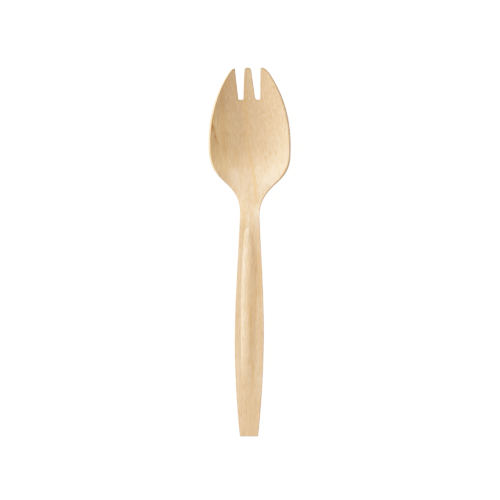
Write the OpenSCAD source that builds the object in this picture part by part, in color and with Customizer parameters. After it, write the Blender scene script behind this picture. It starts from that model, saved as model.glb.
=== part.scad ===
// Disposable wooden spork: one birch veneer, die-cut to its outline and hot-pressed to shape.
// It lies bowl up, as on a table: X across, Y from the handle's end to the tines, Z up.
// Sizes are in millimetres, widths are taken at the middle of the veneer,
// and places along the spork are counted from the handle's end.

/* [Veneer] */
// Length from the handle's end to the tine tips
length = 160; // [150:1:175]
// Thickness of the veneer
veneer_t = 1.7; // [1.2:0.1:2.2]

/* [Handle outline] */
// Width of the square-cut end
end_w = 8.1; // [6:0.1:10]
// Corner radius of the square-cut end
end_r = 0.6; // [0.2:0.1:1.5]
// Angle of each side to the centre line at the end
end_flare = 6; // [2:0.5:9]
// Distance by which the end was cut off centre, the same way as the tips
end_skew = 0.3; // [0:0.05:1]
// Width of the handle where it is widest
handle_w = 12.8; // [10:0.1:16]
// Place where the handle is widest
handle_at = 44; // [36:1:52]
// Width of the neck
neck_w = 8.7; // [7:0.1:10]
// Place of the neck
neck_at = 95; // [92:1:99]
// Angle of each side to the centre line where the handle runs into the neck
neck_taper = 2.5; // [0:0.5:4]

/* [Bowl outline] */
// Width across the shoulders, between the neck and the bowl
shoulder_w = 21.8; // [18:0.1:24]
// Place of the shoulders
shoulder_at = 109.8; // [106:0.1:113]
// Angle of each shoulder to the centre line
shoulder_angle = 49.5; // [40:0.5:54]
// Distance by which the shoulders were cut off centre
shoulder_skew = 0.65; // [0:0.05:1.5]
// Width of the bowl where it is widest
bowl_w = 35.1; // [30:0.1:38]
// Place where the bowl is widest
bowl_at = 126; // [122:1:130]

/* [Tines] */
// Width across the outer tine tips
tips_w = 14.2; // [14:0.1:18]
// Distance by which the tips were cut off centre, the other way from the shoulders
tips_skew = 0.25; // [0:0.05:1]
// Angle of each side to the centre line at the tips
tips_angle = 35.5; // [24:0.1:38]
// Depth of the two slots between the tines
slot_depth = 13.8; // [8:0.1:18]
// Width of a slot at its root
slot_root_w = 2.05; // [1.2:0.05:2.6]
// Width of a slot at its mouth
slot_mouth_w = 4; // [2.5:0.1:4.3]
// Corner radius at a slot's root
slot_root_r = 0.5; // [0.2:0.05:0.55]
// Width of the middle tine at its root
middle_root_w = 5.3; // [4.5:0.1:7]
// Width of the middle tine at its tip
middle_tip_w = 3; // [2.6:0.1:3.4]
// Corner radius of the middle tine's tip
middle_tip_r = 1.2; // [0.4:0.1:1.25]
// Corner radius of the outer tines' tips
outer_tip_r = 0.45; // [0.2:0.05:0.5]
// Angle by which the slots were cut askew
slot_lean = 2.5; // [0:0.1:2.6]

/* [Pressed shape] */
// Radius of the dish across the bowl
dish_r = 36; // [28:1:60]
// Place where the dish begins
dish_from = 102; // [98:1:106]
// Place where the dish is full
dish_full = 116; // [112:1:122]
// Place of the bend at the neck, the highest point of the handle
crest_at = 94; // [90:0.5:98]
// Length of that bend
crest_bend = 7; // [4:0.5:12]
// Place of the bend at the bowl's heel, the lowest point of the bowl
heel_at = 119.5; // [117:0.5:124]
// Length of that bend
heel_bend = 12; // [8:0.5:16]
// Slope of the neck, from the crest down to the heel
neck_slope = 12; // [8:0.5:15]
// Slope of the bowl's floor, from the heel up to the tines
floor_slope = 6; // [3:0.5:9]

/* [Rib] */
// Width of the rib along the handle
rib_w = 6.6; // [5:0.1:8]
// Width of the rib near its nose
rib_nose_w = 4.8; // [4:0.1:6]
// Height of the rib over the handle beside it
rib_h = 0.55; // [0.3:0.05:1.2]
// Place where the rib rises out of the flat end
rib_from = 14; // [8:0.5:16]
// Place where the rib reaches its full height
rib_full = 36; // [26:1:42]
// Place where the rib begins to narrow
rib_narrows = 62; // [50:1:72]
// Place of the rib's nose
rib_to = 90.5; // [86:0.5:92]
// Length of the rounded nose
rib_nose = 4; // [2:0.5:8]

/* [Hidden] */

// Step used to measure the slope of the pressed sheet
probe = 0.02;
// Share of the rib's half width at which the handle's inner column of facets lies
inner_share = 0.5;
// Largest share of the outline's half width that the rib's columns of facets take up
column_share = 0.75;
// Least share of the rib's half width to which those columns close in round the nose
nose_share = 0.45;
// Facets across a flange, a slot and the middle tine
flange_cells = 5;
slot_cells = 2;
middle_cells = 6;
// Facets along the flat end, the rib's run-in, its even stretch, its narrowing stretch and its nose
end_rows = 3;
run_in_rows = 9;
even_rows = 8;
narrow_rows = 9;
nose_rows = 5;
// Facets along the neck, the bowl and the tines, and round one corner of a slot or a tine
neck_rows = 8;
bowl_rows = 20;
tine_rows = 8;
corner_rows = 4;
// Facets round one corner of the handle's end, few enough for it to rest on both corners
end_corner_rows = 2;

slot_root = length - slot_depth;

// Slopes as rises over runs
neck_fall = tan(neck_slope);
floor_rise = tan(floor_slope);

// Heights of the middle of the veneer, so that the heel and the handle's end lie on the table
rest_z = veneer_t / 2;
heel_z = rest_z - heel_bend / 2 * neck_fall * floor_rise / (neck_fall + floor_rise);
crest_z = heel_z + neck_fall * (heel_at - crest_at);
handle_rise = (crest_z - rest_z) / crest_at;

// Half widths as stations of [place, half width, slope]
outline = [
    [0, end_w / 2, tan(end_flare)],
    [handle_at, handle_w / 2, 0],
    [neck_at, neck_w / 2, -tan(neck_taper)],
    [shoulder_at, shoulder_w / 2, tan(shoulder_angle)],
    [bowl_at, bowl_w / 2, 0],
    [length, tips_w / 2, -tan(tips_angle)]
];

// Offset of the centre line as stations of [place, offset, slope]
skew = [
    [0, -end_skew, 0],
    [neck_at, 0, 0],
    [shoulder_at, shoulder_skew, 0],
    [bowl_at, 0, 0],
    [length, -tips_skew, 0]
];

// Side profile as stations of [place, height, slope]: three straight runs and two round bends
profile = [
    [0, rest_z, handle_rise],
    [crest_at - crest_bend / 2, crest_z - handle_rise * crest_bend / 2, handle_rise],
    [crest_at + crest_bend / 2, crest_z - neck_fall * crest_bend / 2, -neck_fall],
    [heel_at - heel_bend / 2, heel_z + neck_fall * heel_bend / 2, -neck_fall],
    [heel_at + heel_bend / 2, heel_z + floor_rise * heel_bend / 2, floor_rise],
    [length, heel_z + floor_rise * (length - heel_at), floor_rise]
];

// Value at share k of the way from a to b
function mix(a, b, k) = a + (b - a) * k;

// Smooth step from 0 at a to 1 at b
function ease(s, a, b) =
    let (k = min(max((s - a) / (b - a), 0), 1))
    k * k * (3 - 2 * k);

// Cubic between two stations, which takes their values and slopes
function cubic(a, b, s) =
    let (run = b[0] - a[0])
    let (k = (s - a[0]) / run)
    let (rise = b[1] - a[1])
    a[1] + a[2] * run * k
        + (3 * rise - (2 * a[2] + b[2]) * run) * k * k
        + ((a[2] + b[2]) * run - 2 * rise) * k * k * k;

// Curve through a list of stations, found from station i onwards
function curve(stations, s, i = 0) =
    i + 2 == len(stations) || s < stations[i + 1][0]
        ? cubic(stations[i], stations[i + 1], s)
        : curve(stations, s, i + 1);

// How far a corner of radius r is cut back at distance d from its end
function corner(d, r) = d < r ? r - sqrt(r * r - (r - max(d, 0)) ^ 2) : 0;

// Half width of the outline, with its corners cut back
function half_width(s) = curve(outline, s) - corner(s, end_r) - corner(length - s, outer_tip_r);

// Half width of the rib, before its nose is rounded
function rib_half(s) = mix(rib_w, rib_nose_w, ease(s, rib_narrows, rib_to)) / 2;

// Round nose of the rib: 0 at its end and 1 where the full rib begins
function nose(s) =
    let (k = min(max((rib_to - s) / rib_nose, 0), 1))
    sqrt(1 - (1 - k) ^ 2);

// Height of the rib, a parabola across whose width and height shrink towards the nose
function rib(x, s) =
    let (half = rib_half(s) * nose(s))
    let (height = rib_h * ease(s, rib_from, rib_full) * nose(s) ^ 2)
    abs(x) < half ? height * (1 - (x / half) ^ 2) : 0;

// Height of the dish, an arc across that fades out at the neck
function dish(x, s) = ease(s, dish_from, dish_full) * (dish_r - sqrt(dish_r * dish_r - x * x));

// Height of the middle of the pressed veneer
function press(x, s) = curve(profile, s) + dish(x, s) + rib(x, s);

// Middle of the slots' pattern, which leans away from the centre line towards the tips
function slots_middle(s) = -tan(slot_lean) * max(s - slot_root, 0);

// Half width from the middle of the pattern to a slot's inner side, and to its outer side
function slot_inner(s) =
    mix(middle_root_w, middle_tip_w, (s - slot_root) / slot_depth) / 2
        + corner(s - slot_root, slot_root_r)
        - corner(length - s, middle_tip_r);
function slot_outer(s) =
    mix(middle_root_w, middle_tip_w, (s - slot_root) / slot_depth) / 2
        + mix(slot_root_w, slot_mouth_w, (s - slot_root) / slot_depth)
        - corner(s - slot_root, slot_root_r)
        + corner(length - s, outer_tip_r);

// The same two lines carried on below the slots to the rib's sides, where they guide the facets
function rib_line(s) = min(rib_half(s) * max(nose(s), nose_share), half_width(s) * column_share);
function inner_line(s) =
    s < slot_root
        ? mix(rib_line(s) * inner_share, slot_inner(slot_root), ease(s, rib_to, slot_root))
        : slot_inner(s);
function outer_line(s) =
    s < slot_root
        ? mix(rib_line(s), slot_outer(slot_root), ease(s, rib_to, slot_root))
        : slot_outer(s);

// Lines that part flange, slot, middle tine, slot and flange at one place
function lines(s) = [
    -half_width(s),
    slots_middle(s) - outer_line(s),
    slots_middle(s) - inner_line(s),
    slots_middle(s) + inner_line(s),
    slots_middle(s) + outer_line(s),
    half_width(s)
];

lane_cells = [flange_cells, slot_cells, middle_cells, slot_cells, flange_cells];
cell_lane = [for (lane = [0 : len(lane_cells) - 1]) each [for (i = [1 : lane_cells[lane]]) lane]];
slot_lanes = [1, 3];

// Places across at one place along
function columns(s) =
    let (edge = lines(s))
    [
        for (lane = [0 : len(lane_cells) - 1])
            for (i = [0 : lane_cells[lane] - 1])
                mix(edge[lane], edge[lane + 1], i / lane_cells[lane]),
        edge[len(lane_cells)]
    ];

// Even steps from a to b, and steps round a corner from a or up to b, all without their last place
function steps(a, b, count) = [for (i = [0 : count - 1]) mix(a, b, i / count)];
function steps_from(a, r, count) = [for (i = [0 : count - 1]) a + r * (1 - cos(90 * i / count))];
function steps_to(b, r, count) = [for (i = [0 : count - 1]) b - r * (1 - sin(90 * i / count))];

// Places of the rows of facets along the spork
rows = concat(
    steps_from(0, end_r, end_corner_rows),
    steps(end_r, rib_from, end_rows),
    steps(rib_from, rib_full, run_in_rows),
    steps(rib_full, rib_narrows, even_rows),
    steps(rib_narrows, rib_to - rib_nose, narrow_rows),
    steps_to(rib_to, rib_nose, nose_rows),
    steps(rib_to, shoulder_at, neck_rows),
    steps(shoulder_at, slot_root, bowl_rows),
    steps_from(slot_root, slot_root_r, corner_rows),
    steps(slot_root + slot_root_r, length - middle_tip_r, tine_rows),
    steps_to(length, middle_tip_r, corner_rows),
    [length]
);

// Point on one face of the sheet, half a thickness from its middle along its normal
function face_point(x, s, side) =
    let (slope_x = (press(x + probe, s) - press(x - probe, s)) / (2 * probe))
    let (slope_s = (press(x, s + probe) - press(x, s - probe)) / (2 * probe))
    let (drift = (curve(skew, s + probe) - curve(skew, s - probe)) / (2 * probe))
    let (normal = [-slope_x, slope_x * drift - slope_s, 1])
    [x + curve(skew, s), s - length / 2, press(x, s)] + normal / norm(normal) * side * veneer_t / 2;

// The veneer as one closed sheet of facets, open at the slots
module pressed_sheet() {
    across = len(cell_lane) + 1;
    under = len(rows) * across;
    points = [for (side = [1, -1]) for (s = rows) for (x = columns(s)) face_point(x, s, side)];

    function is_slot(i, j) =
        len([for (lane = slot_lanes) if (lane == cell_lane[j]) lane]) > 0
            && rows[i] + rows[i + 1] > 2 * slot_root;
    function is_wood(i, j) =
        i >= 0 && i < len(rows) - 1 && j >= 0 && j < len(cell_lane) && !is_slot(i, j);
    function wall(a, b) = [[a, b, b + under], [a, b + under, a + under]];
    function cell(i, j) =
        let (a = i * across + j, b = a + 1, c = b + across, d = a + across)
        concat(
            [[a, d, c], [a, c, b]],
            [[a + under, c + under, d + under], [a + under, b + under, c + under]],
            is_wood(i, j - 1) ? [] : wall(d, a),
            is_wood(i, j + 1) ? [] : wall(b, c),
            is_wood(i - 1, j) ? [] : wall(a, b),
            is_wood(i + 1, j) ? [] : wall(c, d)
        );

    faces = [
        for (i = [0 : len(rows) - 2])
            for (j = [0 : len(cell_lane) - 1])
                if (is_wood(i, j)) each cell(i, j)
    ];
    polyhedron(points, faces, convexity = 6);
}

module birch_spork() {
    color("#e3c7a0") pressed_sheet();
}

birch_spork();
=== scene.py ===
import bpy
import numpy as np
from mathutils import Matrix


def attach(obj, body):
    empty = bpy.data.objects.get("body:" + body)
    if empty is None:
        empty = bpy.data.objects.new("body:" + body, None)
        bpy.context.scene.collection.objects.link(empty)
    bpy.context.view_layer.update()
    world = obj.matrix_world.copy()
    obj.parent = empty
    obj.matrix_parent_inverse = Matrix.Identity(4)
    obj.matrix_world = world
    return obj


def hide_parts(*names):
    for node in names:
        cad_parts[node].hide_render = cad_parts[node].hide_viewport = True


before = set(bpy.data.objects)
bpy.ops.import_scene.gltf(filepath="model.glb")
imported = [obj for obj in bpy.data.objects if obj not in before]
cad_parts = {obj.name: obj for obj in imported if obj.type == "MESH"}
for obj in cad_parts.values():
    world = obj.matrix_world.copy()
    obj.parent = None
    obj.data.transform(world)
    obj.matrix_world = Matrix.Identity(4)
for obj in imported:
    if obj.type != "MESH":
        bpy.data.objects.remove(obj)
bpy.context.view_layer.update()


# The spork is one piece of rotary-cut birch veneer: bowl, three tines, neck and handle.
# A die cuts its outline, and a hot press dishes the bowl and raises the rib along the handle.
# Sizes are in millimetres, and places along it are counted from the handle's end.

length = 160
thickness = 1.7
edge_r = 0.22

# A small gap under the spork keeps it inside the CAD box
rest_gap = 0.002

# Outline: widths at the middle of the veneer, places, and angles of the sides to the centre line
end_w, end_r, end_flare = 8.1, 0.6, 6
handle_w, handle_at = 12.8, 44
neck_w, neck_at, neck_taper = 8.7, 95, 2.5
shoulder_w, shoulder_at, shoulder_angle = 21.8, 109.8, 49.5
bowl_w, bowl_at = 35.1, 126
tips_w, tips_angle = 14.2, 35.5
end_skew, shoulder_skew, tips_skew = -0.3, 0.65, -0.25

# Slots and tines: their corners differ and are listed from left to right.
# The left tine is a little shorter than the others, and a little wider towards its tip.
slot_depth, slot_root_w, slot_mouth_w, slot_lean = 13.8, 2.05, 4, 2.5
middle_root_w, middle_tip_w, middle_tip_r = 5.3, 3, 1.35
root_r = (0.45, 0.35, 1.0, 0.35)
left_tip_r, left_tip_run, left_slot_r, left_short = 0.9, 1.7, 0.3, 0.4
left_wide, left_wide_from, left_wide_full = 0.25, 146, 158
right_tip_r, right_tip_run, right_slot_r = 1.4, 3.2, 0.7

# Side profile: straight runs between two bends, and the arc across the bowl
crest_at, crest_bend, heel_at, heel_bend = 94, 7, 119.5, 12
neck_fall, floor_rise = np.tan(np.radians((12, 6)))
dish_r, dish_from, dish_full = 36, 102, 116

# Rib: its left crease is sharp and its left flank steep, and its right flank falls straight to a soft crease.
# The creases go through stations of (place, distance from the centre line, slope).
rib_h, rib_from, rib_full, rib_to = 0.55, 14, 46, 90.5
rib_left = [(11, -2.9, -0.03), (44, -3.4, 0), (62, -3.35, 0.01), (83, -2.5, 0.05), (90.5, -2.0, 0.08)]
rib_right = [(11, 1.5, 0.06), (40, 3.0, 0.015), (60, 3.2, 0), (83, 2.5, -0.13), (90.5, 0.5, -0.35)]
rib_straight, rib_left_blur, rib_right_blur = 0.6, 0.04, 0.07
rib_blur_from, rib_blur_full = 0.3, 0.7

# The rib sinks towards its nose, which is lower and softer, and round in plan.
# At the nose's tip it keeps a least share of its width, and far outside the rib its arch has a floor.
rib_nose, rib_nose_run = 3.5, 18
rib_nose_h, rib_nose_straight, rib_nose_blur = 0.6, 0.75, 0.2
rib_least_w, arch_floor = 0.05, -2

slot_root = length - slot_depth
rest_z = thickness / 2 + rest_gap
heel_z = rest_z - heel_bend / 2 * neck_fall * floor_rise / (neck_fall + floor_rise)
crest_z = heel_z + neck_fall * (heel_at - crest_at)
handle_rise = (crest_z - rest_z) / crest_at


def tangent(degrees):
    """Slope of a side that stands at an angle to the centre line."""
    return np.tan(np.radians(degrees))


def ease(s, a, b):
    """Smooth step from 0 at a to 1 at b: three times the square of the share less twice its cube."""
    k = np.clip((s - a) / (b - a), 0, 1)
    return k * k * (3 - 2 * k)


def mix(a, b, k):
    """Value at share k of the way from a to b."""
    return a + (b - a) * k


def curve(stations, s):
    """Curve through stations of (place, value, slope): between two, a cubic with their values and slopes."""
    place, value, slope = np.array(stations, dtype=float).T
    i = np.clip(np.searchsorted(place, s, side="right") - 1, 0, len(place) - 2)
    run, rise = place[i + 1] - place[i], value[i + 1] - value[i]
    k = (s - place[i]) / run
    square = 3 * rise - (2 * slope[i] + slope[i + 1]) * run
    cube = (slope[i] + slope[i + 1]) * run - 2 * rise
    return value[i] + slope[i] * run * k + square * k**2 + cube * k**3


def corner(d, r):
    """How far a round corner is cut back at distance d from its end: r less its circle's height there."""
    return r - np.sqrt(r * r - (r - np.clip(d, 0, r)) ** 2)


def side_width(s):
    """Half width of the die-cut outline before its corners are rounded."""
    return curve(
        [
            (0, end_w / 2, tangent(end_flare)),
            (handle_at, handle_w / 2, 0),
            (neck_at, neck_w / 2, -tangent(neck_taper)),
            (shoulder_at, shoulder_w / 2, tangent(shoulder_angle)),
            (bowl_at, bowl_w / 2, 0),
            (length, tips_w / 2, -tangent(tips_angle)),
        ],
        s,
    )


def outline(s):
    """Left and right edge of the outline: the side widths less the corners of the end and the outer tines.

    The corner of an outer tine is a quarter of an ellipse, longer along the spork than across it.
    """
    half = side_width(s) - corner(s, end_r)
    left_cut = corner((length - s) * left_tip_r / left_tip_run, left_tip_r)
    right_cut = corner((length - s) * right_tip_r / right_tip_run, right_tip_r)
    left = left_cut - half - left_wide * ease(s, left_wide_from, left_wide_full)
    return left, half - right_cut


def skew(s):
    """Sideways offset of the cut: the shoulders lie right of the centre line, and both ends left of it."""
    return curve(
        [
            (0, end_skew, 0),
            (neck_at, 0, 0),
            (shoulder_at, shoulder_skew, 0),
            (bowl_at, 0, 0),
            (length, tips_skew, 0),
        ],
        s,
    )


def slot_sides(s):
    """Four straight sides of the two slots, from left to right, which lean and widen towards the tips."""
    k = (s - slot_root) / slot_depth
    middle = -tangent(slot_lean) * np.maximum(s - slot_root, 0)
    inner = mix(middle_root_w, middle_tip_w, k) / 2
    outer = inner + mix(slot_root_w, slot_mouth_w, k)
    return np.stack([middle - outer, middle - inner, middle + inner, middle + outer])


def rib_middle(s):
    """Line halfway between the rib's two creases."""
    on_rib = np.clip(s, rib_from, rib_to)
    return (curve(rib_right, on_rib) + curve(rib_left, on_rib)) / 2


def rib_half(s):
    """Half the distance between the rib's two creases."""
    on_rib = np.clip(s, rib_from, rib_to)
    return (curve(rib_right, on_rib) - curve(rib_left, on_rib)) / 2


def rib_end(s):
    """Round nose of the rib: a quarter circle from 0 at its end to 1 where the full rib begins."""
    k = np.clip((rib_to - s) / rib_nose, 0, 1)
    return np.sqrt(1 - (1 - k) ** 2)


def rib(x, s):
    """Height of the rib: a parabola from its left crease that runs out into a straight right flank.

    Its foot is blurred: half the sum of the height and the root of the height's square plus a small square.
    """
    half = rib_half(s) * np.maximum(rib_end(s), rib_least_w)
    nose = ease(s, rib_to - rib_nose_run, rib_to)
    height = rib_h * ease(s, rib_from, rib_full) * rib_end(s) ** 2 * mix(1, rib_nose_h, nose)
    k = (x - rib_middle(s)) / (2 * half) + 0.5
    bend = mix(rib_straight, rib_nose_straight, nose)
    fall = 4 / (2 - bend) ** 2
    rise = fall * (2 - bend) / bend
    arch = np.where(k < bend, rise * k - (rise + fall) * k**2 / (2 * bend), fall * (1 - k))
    arch = height * np.maximum(arch, arch_floor)
    right_blur = mix(rib_right_blur, rib_nose_blur, nose)
    blur = mix(rib_left_blur, right_blur, ease(k, rib_blur_from, rib_blur_full)) * np.sqrt(height / rib_h)
    return (arch + np.sqrt(arch**2 + blur**2)) / 2


def dish(x, s):
    """Height of the dish: an arc across the bowl, faded out smoothly at the neck."""
    return ease(s, dish_from, dish_full) * (dish_r - np.sqrt(dish_r**2 - x**2))


def profile(s):
    """Height of the centre line: handle, neck and bowl floor are straight, joined by two cubic bends."""
    return curve(
        [
            (0, rest_z, handle_rise),
            (crest_at - crest_bend / 2, crest_z - handle_rise * crest_bend / 2, handle_rise),
            (crest_at + crest_bend / 2, crest_z - neck_fall * crest_bend / 2, -neck_fall),
            (heel_at - heel_bend / 2, heel_z + neck_fall * heel_bend / 2, -neck_fall),
            (heel_at + heel_bend / 2, heel_z + floor_rise * heel_bend / 2, floor_rise),
            (length, heel_z + floor_rise * (length - heel_at), floor_rise),
        ],
        s,
    )


# Waves left by drying and pressing: (width across in mm, length along in mm, height in mm, phase),
# and the run over which they die out
waves = [
    (9, 70, 0.018, 0.4),
    (5.5, 45, 0.010, 2.1),
    (3.4, 34, 0.005, 4.0),
    (14, 23, 0.012, 1.2),
    (2.3, 60, 0.003, 5.1),
]
calm_run = 9


def ripple(x, s):
    """Slight waves of the dried veneer: a sum of sines, long along the grain.

    They die out in bells at both ends and where the bowl rests.
    """
    rest_at = heel_at + heel_bend / 2 * (neck_fall - floor_rise) / (neck_fall + floor_rise)
    calm = np.prod([1 - np.exp(-(((s - at) / calm_run) ** 2)) for at in (0, rest_at, length)], axis=0)
    swell = sum(h * np.sin(2 * np.pi * (x / across + s / along) + phase) for across, along, h, phase in waves)
    return calm * swell


# Crack in the left wall, where the press overstretched the dry veneer: stations of
# (place, distance from the centre line, slope), and the places where it tore open: (place, run, strength)
crack = [
    (126.6, -13.7, -0.5),
    (129.9, -15.1, -0.32),
    (132.5, -15.75, -0.26),
    (134.2, -16.25, -0.24),
    (138.2, -17.0, -0.12),
]
torn_places = [(127.6, 1.1, 0.6), (129.9, 1.2, 0.85), (134.0, 1.9, 1.0)]
crack_w, crack_depth, crack_closed = 0.48, 0.1, 0.35
crack_from, crack_to, crack_fade = 126.2, 138.6, 1.2


def crack_fill(x, s):
    """Share of the crack at a point: a bell across its line, full where fibres tore and slight elsewhere."""
    torn = sum(h * np.exp(-(((s - at) / run) ** 2)) for at, run, h in torn_places)
    line = ease(s, crack_from, crack_from + crack_fade) * (1 - ease(s, crack_to - crack_fade, crack_to))
    across = np.exp(-(((x - curve(crack, s)) / crack_w) ** 2))
    return np.maximum(torn, crack_closed * line) * across


def press(x, s):
    """Height of the middle of the pressed veneer without the rib: profile, dish, waves and crack added up."""
    return profile(s) + dish(x, s) + ripple(x, s) - crack_depth * crack_fill(x, s)


# Share of the disk's radius on which the rib can touch it, and how many places on that are tried
disk_reach, disk_samples = 0.6, 31


def rib_face(x, s, side):
    """Height that the rib gives the upper face (side 1) or the lower one (side -1).

    It is the reach of a disk of half the thickness that rolls along the rib's cross-section, less its radius.
    """
    disk = thickness / 2
    off = disk * np.linspace(-disk_reach, disk_reach, disk_samples)[:, None, None]
    reach = side * rib(x + off, s) + np.sqrt(disk**2 - off**2)
    return side * (reach.max(axis=0) - disk)


def spread(a, b, step):
    """Even places from a towards b, about one step apart, without b itself."""
    return np.linspace(a, b, max(round((b - a) / step), 1), endpoint=False)


def corner_steps(r, count):
    """Distances from the end of a round corner at even angles of its arc: r times one less the cosine."""
    return r * (1 - np.cos(np.radians(np.linspace(0, 90, count))))


# Rows along the spork and steps from a cut edge, close together where the edges and corners turn
edge_steps = corner_steps(edge_r, 6)
root_steps = corner_steps(max(root_r), 9)
tip_steps = corner_steps(middle_tip_r, 10)
end_step, handle_step, nose_step, neck_step, bowl_step, tine_step = 0.09, 0.5, 0.2, 0.42, 0.34, 0.4
nose_from = rib_to - rib_nose
rows = np.unique(
    np.concatenate(
        [
            edge_steps,
            spread(edge_r, end_r, end_step),
            spread(end_r, nose_from, handle_step),
            spread(nose_from, rib_to, nose_step),
            spread(rib_to, shoulder_at, neck_step),
            spread(shoulder_at, slot_root - edge_r, bowl_step),
            slot_root - edge_steps,
            slot_root + root_steps,
            spread(slot_root + max(root_r), length - middle_tip_r, tine_step)[1:],
            length - tip_steps,
            length - edge_steps,
        ]
    ).round(6)
)
root_row = int(np.searchsorted(rows, slot_root))

# Six lines part the veneer into flange, slot, middle tine, slot and flange.
# Below the slots the inner four pass into lines along the rib.
# These keep a least share of its width round its nose, and stay within a share of the outline's.
nose_line_w, rib_line_reach = 0.45, 0.75
inward = np.array([1, -1, 1, -1])[:, None]
root_cut = corner(rows - slot_root, np.array(root_r)[:, None])
tip_cut = corner(length - rows, np.array([left_slot_r, middle_tip_r, middle_tip_r, right_slot_r])[:, None])
slot_lines = slot_sides(rows) + inward * (root_cut - tip_cut)
left_line, right_line = outline(rows)
rib_line = np.minimum(rib_half(rows) * np.maximum(rib_end(rows), nose_line_w), right_line * rib_line_reach)
rib_lines = rib_middle(rows) + np.array([-1, -0.5, 0.5, 1])[:, None] * rib_line
past_rib = ease(rows, rib_to, slot_root)
below_slots = mix(rib_lines, slot_lines[:, root_row : root_row + 1], past_rib)
slot_lines = np.where(rows < slot_root, below_slots, slot_lines)
lines = np.vstack([left_line, slot_lines, right_line])

# Below the slots the lines are no cut edges, and the columns beside them lie further apart
lane_columns = (26, 4, 12, 4, 18)
uncut_run, loose_w, narrow = 6, 0.6, 2.5 * edge_r
uncut = 1 - ease(rows, slot_root - uncut_run, slot_root - 2 * edge_r)


def lane(i, count):
    """Columns of one lane: close steps in from both of its lines, and count even steps between them.

    Beside a line that is no cut, the steps take up loose_w or a third of the lane.
    Where the lane is narrower than both sets of close steps need, they shrink with it.
    """
    left, right = lines[i], lines[i + 1]
    loose = np.linspace(0, 1, len(edge_steps))[:, None] * np.minimum(loose_w, (right - left) / 3)
    outer = edge_steps[:, None] * np.minimum(1, (right - left) / narrow)
    inner = mix(outer, loose, uncut)
    first = left + (outer if i == 0 else inner)
    last = right - (outer if i == len(lane_columns) - 1 else inner)[::-1]
    k = np.linspace(0, 1, count + 1)[1:-1, None]
    return np.vstack([first, mix(first[-1], last[0], k), last])


lanes = [lane(i, count) for i, count in enumerate(lane_columns)]
columns = np.vstack([lanes[0]] + [each[1:] for each in lanes[1:]])
lane_ends = np.cumsum([len(each) - 1 for each in lanes])
x = columns.T
s = np.broadcast_to(rows[:, None], x.shape)


def slot_distance(x, s, left, right, left_r, right_r):
    """Distance from the wood to a slot: to its nearer side or its root, and round the corner between them."""
    r = np.where(x < (left + right) / 2, left_r, right_r)
    beside = np.maximum(np.maximum(left - x, x - right) + r, 0)
    behind = np.maximum(slot_root - s + r, 0)
    return np.hypot(beside, behind) - r


def end_distance(to_side, to_end, r):
    """Distance inwards from a side and an end: the nearer one, or round their corner of radius r."""
    rounded = r - np.hypot(r - to_side, r - to_end)
    return np.where((to_side < r) & (to_end < r), rounded, np.minimum(to_side, to_end))


# Slopes are taken between two places this far to either side
probe = 0.02


def cut_distance(x, s):
    """Distance from a point to the nearest cut: to a side, to an end or to a slot.

    To a side it is the distance across, over the root of one plus the square of the side's slope.
    """
    left, right = outline(s)
    left_slope, right_slope = (np.array(outline(s + probe)) - outline(s - probe)) / (2 * probe)
    left_out, left_in, right_in, right_out = slot_sides(s)
    near_tip = s > slot_root + slot_depth / 2
    left_tine, right_tine = near_tip & (x < left_out), near_tip & (x > right_out)
    middle_tine = near_tip & (x > left_in) & (x < right_in)
    to_tip = length - s
    distances = [
        (x - left) / np.hypot(1, left_slope),
        (right - x) / np.hypot(1, right_slope),
        s,
        to_tip,
        slot_distance(x, s, left_out, left_in, root_r[0], root_r[1]),
        slot_distance(x, s, right_in, right_out, root_r[2], root_r[3]),
        np.where(left_tine, end_distance(left_out - x, to_tip, left_slot_r), np.inf),
        np.where(right_tine, end_distance(x - right_out, to_tip, right_slot_r), np.inf),
        np.where(middle_tine, end_distance(x - left_in, to_tip, middle_tip_r), np.inf),
        np.where(middle_tine, end_distance(right_in - x, to_tip, middle_tip_r), np.inf),
    ]
    return np.clip(np.minimum.reduce(distances), 0, None)


# The two faces lie half a thickness from the middle of the veneer, along its normal.
# They draw together round a cut edge, and the rib lifts both.
to_cut = cut_distance(x, s)
half = thickness / 2 - corner(to_cut, edge_r)
slope_x = (press(x + probe, s) - press(x - probe, s)) / (2 * probe)
slope_s = (press(x, s + probe) - press(x, s - probe)) / (2 * probe)
drift = (skew(s + probe) - skew(s - probe)) / (2 * probe)
normal = np.stack([-slope_x, slope_x * drift - slope_s, np.ones_like(x)], axis=-1)
normal /= np.linalg.norm(normal, axis=-1, keepdims=True)
left_lane = np.arange(x.shape[1]) <= lane_ends[0]
short = left_short * left_lane * ease(s, slot_root, length)
middle = np.stack([x + skew(s), s - length / 2 - short, press(x, s)], axis=-1)
top = middle + normal * half[..., None]
under = middle - normal * half[..., None]
top[..., 2] += rib_face(x, s, 1)
under[..., 2] += rib_face(x, s, -1)

# The cut edge is one loop round the outline and the slots, carried down through the thickness
n, m = x.shape
index = np.arange(n * m).reshape(n, m)
a, b, c, d, e = lane_ends
loop = np.concatenate(
    [
        index[:, 0],
        index[-1, 1 : a + 1],
        index[-2:root_row:-1, a],
        index[root_row, a : b + 1],
        index[root_row + 1 :, b],
        index[-1, b + 1 : c + 1],
        index[-2:root_row:-1, c],
        index[root_row, c : d + 1],
        index[root_row + 1 :, d],
        index[-1, d + 1 : e + 1],
        index[-2::-1, e],
        index[0, -2:0:-1],
    ]
)
levels = 4
depth = np.linspace(0, 1, levels + 1)[1:-1, None, None]
wall = mix(top.reshape(-1, 3)[loop], under.reshape(-1, 3)[loop], depth)

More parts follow.
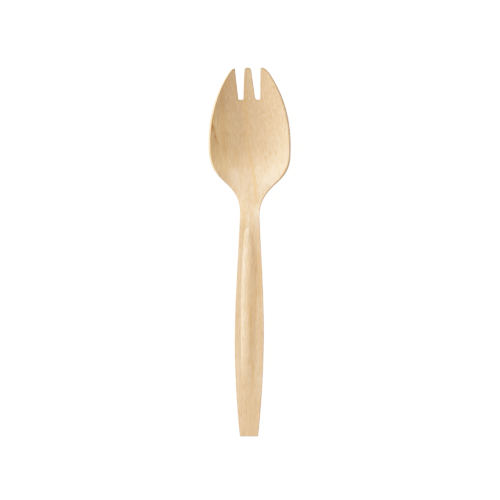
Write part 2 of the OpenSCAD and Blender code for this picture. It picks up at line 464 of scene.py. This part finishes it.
wood = np.ones((n - 1, m - 1), dtype=bool)
wood[root_row:, a:b] = False
wood[root_row:, c:d] = False
cells = np.stack([index[:-1, :-1], index[:-1, 1:], index[1:, 1:], index[1:, :-1]], axis=-1)[wood]
wall_index = 2 * n * m + np.arange(wall[..., 0].size).reshape(levels - 1, -1)
rings = np.vstack([loop[None], wall_index, loop[None] + n * m])
following = np.roll(rings, -1, axis=1)
walls = np.stack([rings[:-1], following[:-1], following[1:], rings[1:]], axis=-1).reshape(-1, 4)
faces = np.vstack([cells, cells[:, ::-1] + n * m, walls])
points = np.vstack([top.reshape(-1, 3), under.reshape(-1, 3), wall.reshape(-1, 3)])
used = np.zeros(len(points), dtype=bool)
used[faces.ravel()] = True
faces = (np.cumsum(used) - 1)[faces]

mesh = bpy.data.meshes.new("pressed_spork")
mesh.from_pydata(points[used] / 1000, [], faces)
mesh.polygons.foreach_set("use_smooth", np.ones(len(faces), dtype=bool))


def paint(name, face_values, wall_values):
    """Keeps one number for each point of the mesh, under a name that the material reads.

    Both faces take the same grid, and the cut edge takes one value, or one for each point of its loop.
    """
    edge = np.broadcast_to(wall_values, (levels - 1, len(loop)))
    both = np.concatenate([face_values.ravel(), face_values.ravel(), edge.ravel()])
    mesh.attributes.new(name, "FLOAT", "POINT").data.foreach_set("value", both[used].astype(np.float32))


def round_fill(x, s, patches):
    """Share of a patchy colour at a point: a round bell for each patch.

    A patch is (place, run, distance from the centre line, width, strength).
    """
    return sum(h * np.exp(-(((s - at) / run) ** 2) - ((x - off) / w) ** 2) for at, run, off, w, h in patches)


# The cut edge and a narrow strip inside it are darker. This is partly the cut's own browning, most where it
# runs across the grain, and partly painted shade.
# The darkening is less at the left shoulder, the right wall, the handle's end and the slots' roots, and
# painted shade darkens the left rim.
# The values are where the strip starts to fade, where it ends, and its share along the grain.
brown_from, brown_to, brown_along = 0.1, 0.6, 0.1
less_dark_edge_places = [
    (112, 11, -13, 9, 0.85),
    (129, 10, 17.5, 3, 0.5),
    (0, 2, 0, 6, 0.8),
    (146, 1.2, -3.7, 1.6, 0.75),
    (146, 1.2, 3.7, 1.6, 0.75),
]
painted_rim_shade_places = [(132, 11, -17, 3.5, 0.4)]

edge_line = middle.reshape(-1, 3)[loop]
edge_run = np.roll(edge_line, -1, axis=0) - np.roll(edge_line, 1, axis=0)
across_grain = np.abs(edge_run[:, 0]) / np.linalg.norm(edge_run, axis=1)
across_face = np.abs(cut_distance(x, s + probe) - cut_distance(x, s - probe)) / (2 * probe)
across_face = np.clip(across_face, 0, 1)
strip = 1 - ease(to_cut, brown_from, brown_to)
edge_dark_kept = 1 - round_fill(x, s, less_dark_edge_places)
painted_rim_shade = round_fill(x, s, painted_rim_shade_places)
wall_edge_dark_kept, wall_painted_rim_shade = edge_dark_kept.ravel()[loop], painted_rim_shade.ravel()[loop]
paint("edge_strip_brown_and_shade", strip * edge_dark_kept * mix(brown_along, 1, across_face), wall_edge_dark_kept)
paint("end_grain_and_rim_shade", strip * (edge_dark_kept * across_face + painted_rim_shade), across_grain * wall_edge_dark_kept + wall_painted_rim_shade)
paint("crack", crack_fill(x, s), 0)

# The bowl is darker towards the tines and in a few places, and its darker patch at the neck is painted shade.
# One pin knot lies in the right tine.
darker_tone_from, darker_tone_full, darker_tone_edge = 95, 168, 0.6
darker_and_neck_shade_places = [
    (104, 9, 0, 12, 0.48),
    (146, 20, 8, 8, 0.42),
    (119, 7, 10, 6, 0.16),
    (139, 8, -3.4, 1.8, 0.25),
]
knots = [(151.4, 0.4, 10.85, 0.3, 1)]
paint("darker_tone_and_neck_shade", ease(s, darker_tone_from, darker_tone_full) + round_fill(x, s, darker_and_neck_shade_places), darker_tone_edge)
paint("knot", round_fill(x, s, knots), 0)

# Honey-coloured streaks of the heartwood: (stations of place, distance and slope), half width, strength
honey_streaks = [
    ([(96, 2.4, 0), (109.6, 1.7, -0.1), (117, 0.9, -0.14), (129, -0.9, -0.15)], 0.75, 0.75),
    ([(116, 0, -0.1), (126, -0.9, -0.05), (133, -1.2, -0.05), (141, -1.8, -0.07), (160, -2.3, 0)], 1.2, 0.5),
    ([(16, 1.5, 0.0), (25, 1.6, 0.02), (37, 1.9, 0.02)], 0.7, 0.9),
    ([(2, -0.5, 0.0), (10, -0.5, 0), (20, -0.5, 0)], 3.0, 0.16),
    ([(44, 0.6, 0), (52, 0.5, 0), (60, 0.6, 0)], 0.7, 0.65),
    ([(49, 2.3, 0), (59, 2.5, 0), (68, 2.9, 0)], 0.9, 0.6),
    ([(58, 4.7, 0.0), (70, 4.4, 0.0), (84, 3.6, 0.0)], 1.2, 0.7),
    ([(138, -12.2, 0.0), (146, -12.0, 0.02), (153, -11.6, 0.06)], 0.7, 0.6),
    ([(149.5, -9.8, 0.0), (152.8, -9.7, 0.0), (156, -9.6, 0.0)], 0.6, 0.8),
    ([(118, -10.2, -0.1), (131, -11.6, -0.06), (143, -12.2, -0.04)], 0.9, 0.6),
    ([(116, -13.5, -0.05), (122, -14.0, -0.1), (128, -14.6, -0.1)], 0.7, 0.3),
    ([(38, 0.2, 0), (58, 0.2, 0), (80, 0.4, 0)], 0.9, 0.3),
    ([(80, -3.0, 0), (92, -2.8, 0), (104, -3.0, 0)], 1.1, 0.5),
    ([(28, 0.8, 0), (38, 0.7, 0), (50, 0.9, 0)], 0.7, 0.45),
    ([(22, -5.6, -0.03), (35, -5.9, 0), (48, -6.0, 0)], 0.6, 0.3),
    ([(115, -5.7, 0.0), (121, -6.0, 0.0), (127, -6.2, 0.0)], 1.0, 0.45),
]

# Golden wood in the left wall, in the same way
golden_bands = [
    ([(108, -12, -0.1), (126, -14.5, 0), (146, -12.5, 0.15)], 6.0, 1.0),
    ([(114, -14.2, -0.2), (127, -16.2, 0), (139, -16.0, 0.13), (156, -10.9, 0.4)], 1.1, 0.7),
]

# Paler streaks, in the same way: partly pale sapwood, and on the neck, the heel, the shoulders and the rib's
# left flank, which face the light, partly painted highlight
pale_wood_and_highlight_streaks = [
    ([(62, -2.4, 0), (76, -2.2, 0.02), (91, -1.4, 0.05)], 0.9, 0.55),
    ([(106, 8.5, 0.1), (112, 9.5, 0.2), (118, 11.0, 0.2)], 2.5, 0.5),
    ([(13, 2.6, 0), (26, 2.2, 0), (42, 2.0, 0)], 2.4, 0.6),
    ([(106, -5, -0.2), (112, -6.5, -0.25), (119, -8.2, -0.25)], 2.5, 0.4),
    ([(101, 4.2, 0.1), (108, 5.0, 0.15), (116, 6.4, 0.2)], 2.0, 0.5),
    ([(145, 0.6, 0), (153, 0.2, -0.05), (164, -0.3, -0.05)], 1.2, 0.25),
    ([(83, -0.7, 0), (90, -0.5, 0), (99, -0.2, 0)], 0.9, 0.55),
    ([(89, 3.2, 0), (96, 3.2, 0), (102, 3.5, 0)], 1.0, 0.55),
    ([(13, 4.3, 0.05), (21, 4.6, 0.03), (30, 4.9, 0)], 0.9, 0.5),
    ([(106, -8.5, -0.8), (111, -12, -0.6), (116, -14.5, -0.3)], 1.2, 0.5),
]

# Painted sheen: places where pale streaks of highlight are painted on the bends that face the light, at the
# neck, the left heel and the right shoulder
painted_sheen_places = [(98, 5, 1.2, 3.0, 0.2), (113, 5, -7.5, 3.5, 1.0), (110, 5, 8.5, 3.5, 0.8)]


def streak_fill(x, s, streaks):
    """Share of a streaked wood at a point: a bell across each streak's line.

    A streak fades in and out smoothly over a third of its length at each end.
    """
    total = np.zeros_like(x)
    for stations, width, strength in streaks:
        first, last = stations[0][0], stations[-1][0]
        fade = (last - first) / 3
        along = ease(s, first, first + fade) * (1 - ease(s, last - fade, last))
        total += strength * along * np.exp(-(((x - curve(stations, s)) / width) ** 2))
    return total


paint("honey", streak_fill(x, s, honey_streaks), 0)
paint("golden", streak_fill(x, s, golden_bands), 0)
paint("pale_wood_and_highlight", streak_fill(x, s, pale_wood_and_highlight_streaks), 0)
paint("painted_sheen", round_fill(x, s, painted_sheen_places), 0)

spork = bpy.data.objects.new("pressed_spork", mesh)
bpy.context.collection.objects.link(spork)

# Hot-pressed birch veneer: pale cream wood with straight fine grain, smooth but not glossy.
# The eye sees broad warm bands, short darker vessel lines and slightly browner cut edges. Its colour also
# carries painted sheen, painted highlight and painted shade.
birch = bpy.data.materials.new("hot_pressed_birch_veneer")
birch.use_nodes = True
tree = birch.node_tree
tree.nodes.clear()


def linear(hex_colour):
    """Linear colour of an sRGB hex value: each channel plus 0.055, over 1.055, to the power 2.4."""
    srgb = np.array([int(hex_colour[i : i + 2], 16) for i in (1, 3, 5)]) / 255
    return (*np.where(srgb <= 0.04045, srgb / 12.92, ((srgb + 0.055) / 1.055) ** 2.4), 1)


def add(kind, inputs=(), **settings):
    """Adds a node, sets its properties, and gives each named input a number or a link from another node."""
    node = tree.nodes.new(kind)
    for name, value in settings.items():
        setattr(node, name, value)
    for name, value in dict(inputs).items():
        if isinstance(value, bpy.types.NodeSocket):
            tree.links.new(value, node.inputs[name])
        else:
            node.inputs[name].default_value = value
    return node


place = add("ShaderNodeTexCoord").outputs["Object"]

# Noise drawn out along the grain: sizes across, along and through in millimetres, detail and shift.
# Real vessels are a tenth of a millimetre wide. The pore lines are about that, and show only from near by.
# The vessels here are groups of them, drawn coarser so that they show.
patterns = {}
for name, sizes, detail, shift in (
    ("bands", (4.5, 110, 9), 2, 0),
    ("lines", (0.8, 22, 2), 3, 7),
    ("vessels", (0.42, 5, 1), 2, 13),
    ("flecks", (0.42, 2.0, 0.8), 2, 21),
    ("sheen_streaks", (0.5, 8, 1), 1, 29),
    ("pore_lines", (0.15, 2.6, 0.4), 1, 37),
):
    mapping = add(
        "ShaderNodeMapping",
        {"Vector": place, "Scale": [1000 / size for size in sizes], "Location": [shift] * 3},
    )
    noise = add("ShaderNodeTexNoise", {"Vector": mapping.outputs["Vector"], "Scale": 1.0, "Detail": detail})
    patterns[name] = noise.outputs["Fac"]
for name in ("darker_tone_and_neck_shade", "golden", "pale_wood_and_highlight", "honey", "painted_sheen", "edge_strip_brown_and_shade", "end_grain_and_rim_shade", "crack", "knot"):
    patterns[name] = add("ShaderNodeAttribute", attribute_name=name).outputs["Fac"]
for name, pattern, place_on in (("sheen_streaks", "sheen_streaks", "painted_sheen"), ("pores", "vessels", "end_grain_and_rim_shade")):
    product = add("ShaderNodeMath", {0: patterns[pattern], 1: patterns[place_on]}, operation="MULTIPLY")
    patterns[name] = product.outputs["Value"]

# Layers of colour, one over the other: pattern, its low and high ends, share at the high end, colour
colour = linear("#e7c19b")
for name, low, high, share, tint in (
    ("bands", 0.32, 0.68, 1, "#daaf84"),
    # Darker towards the tines; at the neck this darkening is painted shade
    ("darker_tone_and_neck_shade", 0, 1, 1, "#bd9872"),
    ("golden", 0, 1, 0.8, "#f3cc94"),
    # Paler streaks: partly pale wood, partly painted highlight on places that face the light
    ("pale_wood_and_highlight", 0, 1, 0.6, "#efd6b6"),
    ("lines", 0.35, 0.72, 0.32, "#cd9d6c"),
    ("flecks", 0.3, 0.75, 0.34, "#f0d6b4"),
    ("vessels", 0.5, 0.75, 0.5, "#c0905c"),
    ("pore_lines", 0.55, 0.7, 0.36, "#ac7f50"),
    ("honey", 0, 1, 0.6, "#d39a58"),
    # Painted sheen: pale streaks of highlight on the bends that face the light
    ("sheen_streaks", 0.25, 0.7, 0.3, "#f6e6d0"),
    # Darker cut edges and left rim: partly the cut's browning and end grain, partly painted shade
    ("edge_strip_brown_and_shade", 0, 1, 0.6, "#c09a68"),
    ("end_grain_and_rim_shade", 0, 1, 0.85, "#8c6840"),
    ("pores", 0.4, 0.7, 0.6, "#6b4a2a"),
    ("crack", 0, 1, 1, "#b46c24"),
    ("knot", 0, 1, 0.8, "#7a5230"),
):
    factor = add(
        "ShaderNodeMapRange",
        {"Value": patterns[name], "From Min": low, "From Max": high, "To Max": share},
    )
    layer = add("ShaderNodeMix", {0: factor.outputs["Result"], 6: colour, 7: linear(tint)}, data_type="RGBA")
    colour = layer.outputs[2]

# Relief of the fibres and of the open pores in metres, and a gloss that is a little duller along the vessels
fibre_relief, pore_relief = 0.00006, 0.00004
fibres = add("ShaderNodeBump", {"Height": patterns["lines"], "Strength": 0.25, "Distance": fibre_relief})
open_pores = add(
    "ShaderNodeBump",
    {
        "Height": patterns["vessels"],
        "Normal": fibres.outputs["Normal"],
        "Strength": 0.2,
        "Distance": pore_relief,
    },
)
polish = add(
    "ShaderNodeMapRange",
    {"Value": patterns["vessels"], "From Min": 0.3, "From Max": 0.7, "To Min": 0.52, "To Max": 0.62},
)
shader = add(
    "ShaderNodeBsdfPrincipled",
    {
        "Base Color": colour,
        "Roughness": polish.outputs["Result"],
        "IOR": 1.55,
        "Specular IOR Level": 0.22,
        "Normal": open_pores.outputs["Normal"],
    },
)
add("ShaderNodeOutputMaterial", {"Surface": shader.outputs["BSDF"]})
mesh.materials.append(birch)

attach(spork, "root")
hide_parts("birch_spork")


# The table is a wide sheet of white opal acrylic, lit from below as in product photography.
# It gives a plain white ground with hardly any shadow.
table_half, table_under = 5.0, 0.00005
table_corners = [(-1, -1), (1, -1), (1, 1), (-1, 1)]
table_points = [(table_half * i, table_half * j, -table_under) for i, j in table_corners]
table_mesh = bpy.data.meshes.new("light_table")
table_mesh.from_pydata(table_points, [], [(0, 1, 2, 3)])
table = bpy.data.objects.new("light_table", table_mesh)
bpy.context.collection.objects.link(table)

# Opal acrylic: an even, dull white that glows by itself
acrylic = bpy.data.materials.new("opal_acrylic")
acrylic.use_nodes = True
tree = acrylic.node_tree
tree.nodes.clear()
glow = add(
    "ShaderNodeBsdfPrincipled",
    {
        "Base Color": linear("#707070"),
        "Roughness": 0.8,
        "Emission Color": linear("#ffffff"),
        "Emission Strength": 0.94,
    },
)
add("ShaderNodeOutputMaterial", {"Surface": glow.outputs["BSDF"]})
table_mesh.materials.append(acrylic)


# The light is one large square soft box from the upper left, low enough to draw out the rib.
# It stands in a pale room, whose warm light fills the shadows.
room_strength = 0.33
box_side, box_power, box_distance = 0.8, 28, 1.4
box_way = np.array((-0.69, 0.62, 0.36))

world = bpy.data.worlds.new("pale_room")
world.use_nodes = True
room = world.node_tree.nodes["Background"].inputs
room["Color"].default_value = linear("#fff2df")
room["Strength"].default_value = room_strength
bpy.context.scene.world = world

box_data = bpy.data.lights.new("soft_box", "AREA")
box_data.shape = "RECTANGLE"
box_data.size, box_data.size_y = box_side, box_side
box_data.energy = box_power
box = bpy.data.objects.new("soft_box", box_data)
box.location = box_distance * box_way / np.linalg.norm(box_way)
box.rotation_euler = box.location.to_track_quat("Z", "Y").to_euler()
bpy.context.collection.objects.link(box)


# The camera looks straight down on the spork, with the tines at the top of the picture.
# The picture spans view_w millimetres at the height view_z, which sets the camera's distance.
lens, sensor = 200, 36
view_w = 216.6
view_x, view_y, view_z = 0.17, 0.97, 4
camera_z = view_z + view_w * lens / sensor
camera_data = bpy.data.cameras.new("camera")
camera_data.lens, camera_data.sensor_width = lens, sensor
camera = bpy.data.objects.new("camera", camera_data)
camera.location = (view_x / 1000, view_y / 1000, camera_z / 1000)
bpy.context.collection.objects.link(camera)
bpy.context.scene.camera = camera

# Its tone curve is that of a photograph: steep in the dark and rolled off towards white.
# A tone becomes one less the exponential of minus the roll times the tone, over what that gives for white.
# Green and blue are lifted in the bright tones, which cools them: (channel, lift, first tone, full tone)
tone_roll = 2.2
tone_stops = (0.08, 0.18, 0.3, 0.45, 0.65, 0.85)
lifts = [(1, 0.035, 0.36, 0.48), (2, 0.05, 0.18, 0.3)]
lift_stops = np.linspace(0.06, 0.94, 23)

view = bpy.context.scene.view_settings
view.view_transform = "Standard"
view.use_curve_mapping = True
curves = view.curve_mapping.curves
for tone in tone_stops:
    curves[3].points.new(tone, (1 - np.exp(-tone_roll * tone)) / (1 - np.exp(-tone_roll)))
for channel, lift, low, high in lifts:
    for tone in lift_stops:
        curves[channel].points.new(tone, tone + lift * ease(tone, low, high) * (1 - ease(tone, high, 1)))
view.curve_mapping.update()
